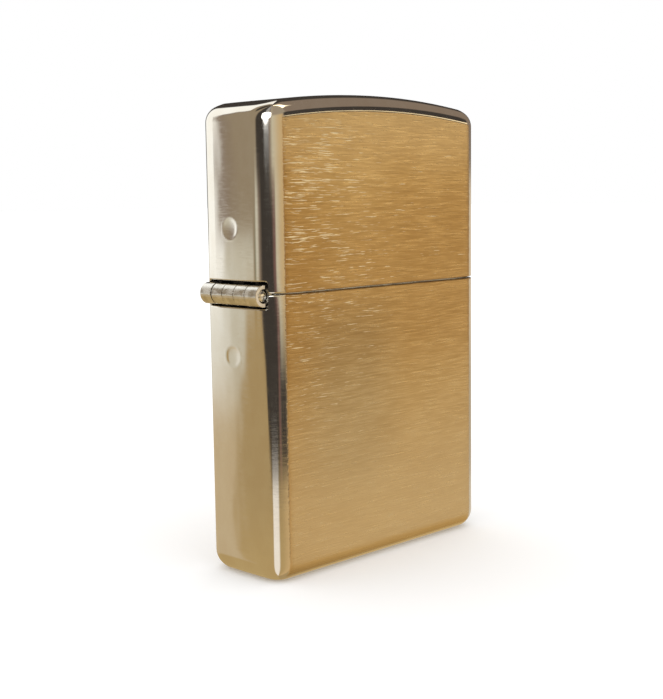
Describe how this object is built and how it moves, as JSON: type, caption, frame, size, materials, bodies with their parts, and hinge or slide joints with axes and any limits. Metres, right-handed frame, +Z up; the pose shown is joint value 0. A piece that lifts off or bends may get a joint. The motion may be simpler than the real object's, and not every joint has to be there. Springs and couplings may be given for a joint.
{
  "type": "flip-top petrol lighter",
  "caption": "Slim upright rectangular pocket lighter with rounded corners and a gently arched top, hinged flip lid, and an inner works with perforated windscreen, striker wheel and wick.",
  "frame": {"origin": "bottom centre of the bounding box, on the surface the lighter stands on", "axes": "+Z up through the lid; +X across the width, away from the hinge; +Y through the thickness, towards the back"},
  "size_m": [0.0392, 0.0126, 0.0571],
  "materials": {
    "brushed_brass": "satin",
    "nickel": "polished",
    "steel": "satin",
    "hardened_steel": "satin",
    "spring_steel": "gloss",
    "turned_brass": "gloss",
    "flint": "matte",
    "cotton": "matte",
    "rayon": "matte",
    "felt": "matte"
  },
  "bodies": {
    "case": {"bottom_case": "brushed_brass", "hinge_leaf_lower": "nickel", "hinge_pin": "nickel", "insert_case": "steel", "chimney": "steel", "wheel_rivet": "steel", "cam_rivet": "steel", "cam_spring": "spring_steel", "cam_spring_rivet": "steel", "flint_tube": "turned_brass", "flint_spring": "spring_steel", "wick": "cotton", "rayon_ball_1": "rayon", "rayon_ball_2": "rayon", "rayon_ball_3": "rayon", "rayon_ball_4": "rayon", "rayon_ball_5": "rayon", "felt_pad": "felt"},
    "lid": {"lid_case": "brushed_brass", "hinge_leaf_upper": "nickel"},
    "cam": {"cam": "steel"},
    "wheel": {"striker_wheel": "hardened_steel"},
    "flint": {"flint": "flint", "flint_follower": "turned_brass"},
    "screw": {"flint_screw": "turned_brass"}
  },
  "joints": [
    {"name": "lid_hinge", "type": "hinge", "parent": "case", "child": "lid", "pos_m": [-0.01832, 0, 0.0339], "axis": [0, -1, 0], "range_deg": [0, 120]},
    {"name": "cam_pivot", "type": "hinge", "parent": "case", "child": "cam", "pos_m": [-0.01187, 0, 0.039], "axis": [0, -1, 0], "range_deg": [0, 66]},
    {"name": "wheel_spin", "type": "hinge", "parent": "case", "child": "wheel", "pos_m": [-0.00587, 0, 0.0448], "axis": [0, 1, 0], "continuous": true},
    {"name": "flint_feed", "type": "slide", "parent": "case", "child": "flint", "axis": [0, 0, 1], "range_m": [-0.0015, 0], "stiffness_N_per_m": 100, "springref_m": 0.01, "deforming": ["flint_spring"]},
    {"name": "flint_screw_turn", "type": "hinge", "parent": "case", "child": "screw", "pos_m": [-0.00587, 0, 0.005], "axis": [0, 0, 1], "continuous": true}
  ],
  "couplings": [
    {"joint": "cam_pivot", "follows": "lid_hinge", "ratio": 0.55}
  ]
}
